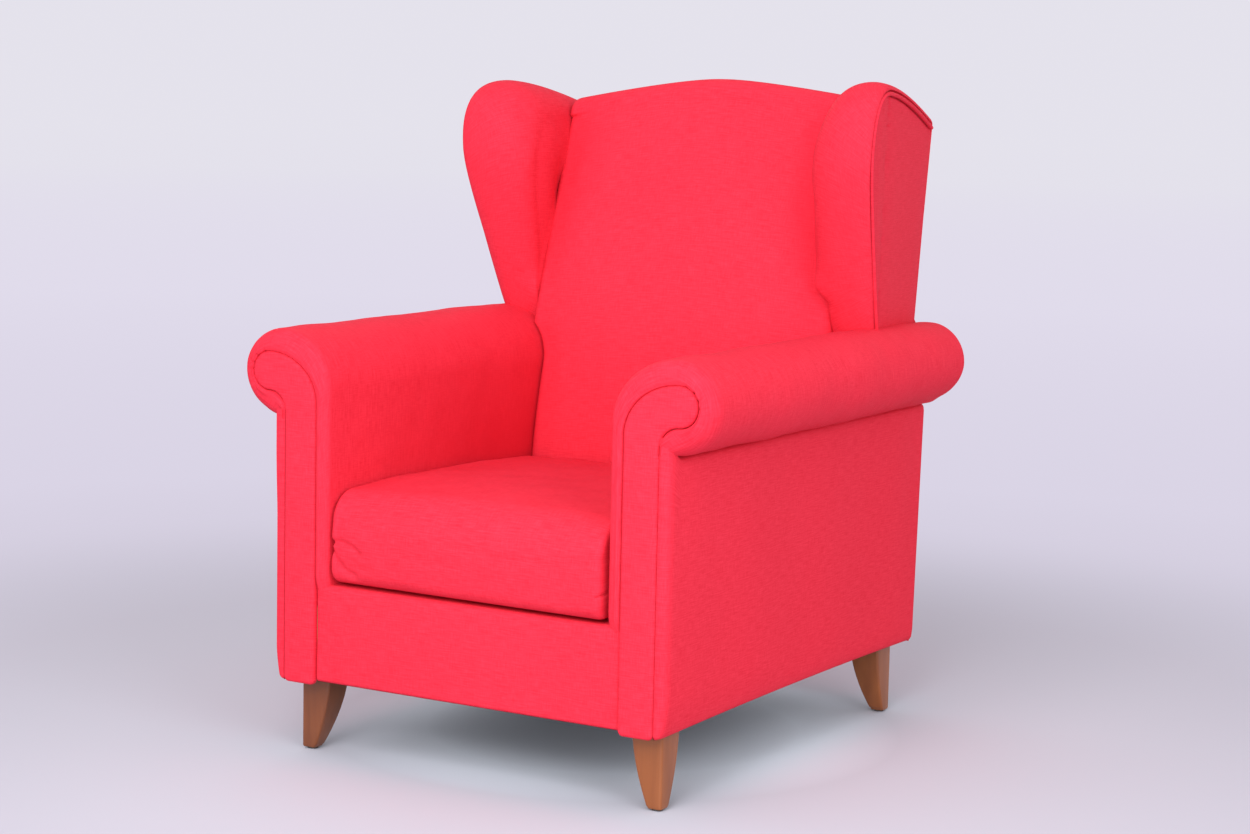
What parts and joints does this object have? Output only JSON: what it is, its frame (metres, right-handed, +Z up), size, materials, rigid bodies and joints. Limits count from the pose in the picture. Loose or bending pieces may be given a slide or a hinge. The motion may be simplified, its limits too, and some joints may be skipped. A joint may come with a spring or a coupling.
{
  "type": "wingback fireside chair",
  "caption": "Upholstered fireside chair with a high winged back, rolled scroll arms, a loose box seat cushion and tapered wooden legs.",
  "frame": {"origin": "on the floor, under the middle of the chair's bounding box", "axes": "+Z up; the chair faces -Y; +X is the sitter's left"},
  "size_m": [0.8218, 0.8874, 1.04],
  "materials": {
    "fabric": "plain weave, coral red",
    "piping": "plain weave, coral red, on cord or tape",
    "leg_wood": "stained and satin varnished",
    "timber": "planed, unfinished",
    "steel": "drawn wire and zinc plate",
    "nylon": "moulded",
    "foam": "cut foam",
    "backing": "black spun-bonded cloth and elastic webbing"
  },
  "bodies": {
    "chair": {"front_post_left": "timber", "back_post_left": "timber", "side_rail_left": "timber", "arm_tack_rail_left": "timber", "arm_board_left": "timber", "wing_frame_left": "timber", "corner_block_front_left": "timber", "corner_block_rear_left": "timber", "inside_arm_left": "fabric", "arm_facing_left": "fabric", "outside_arm_left": "fabric", "wing_pad_left": "fabric", "outside_wing_left": "fabric", "wing_welt_left": "piping", "leg_front_left": "leg_wood", "leg_bolt_front_left": "steel", "glide_front_left": "nylon", "leg_rear_left": "leg_wood", "leg_bolt_rear_left": "steel", "glide_rear_left": "nylon", "front_post_right": "timber", "back_post_right": "timber", "side_rail_right": "timber", "arm_tack_rail_right": "timber", "arm_board_right": "timber", "wing_frame_right": "timber", "corner_block_front_right": "timber", "corner_block_rear_right": "timber", "inside_arm_right": "fabric", "arm_facing_right": "fabric", "outside_arm_right": "fabric", "wing_pad_right": "fabric", "outside_wing_right": "fabric", "wing_welt_right": "piping", "leg_front_right": "leg_wood", "leg_bolt_front_right": "steel", "glide_front_right": "nylon", "leg_rear_right": "leg_wood", "leg_bolt_rear_right": "steel", "glide_rear_right": "nylon", "front_rail": "timber", "back_rail": "timber", "lower_back_rail": "timber", "crest_rail": "timber", "seat_spring_1": "steel", "seat_spring_2": "steel", "seat_spring_3": "steel", "seat_spring_4": "steel", "seat_spring_5": "steel", "back_web_1": "backing", "back_web_2": "backing", "back_web_3": "backing", "seat_deck": "backing", "front_border": "fabric", "inside_back": "fabric", "outside_back": "fabric", "dust_cover": "backing"},
    "cushion": {"cushion_cover": "fabric", "cushion_zip": "piping", "cushion_core": "foam"}
  },
  "joints": [
    {"name": "cushion_lift", "type": "slide", "parent": "chair", "child": "cushion", "axis": [0, 0, 1], "range_m": [0, 0.8]}
  ]
}
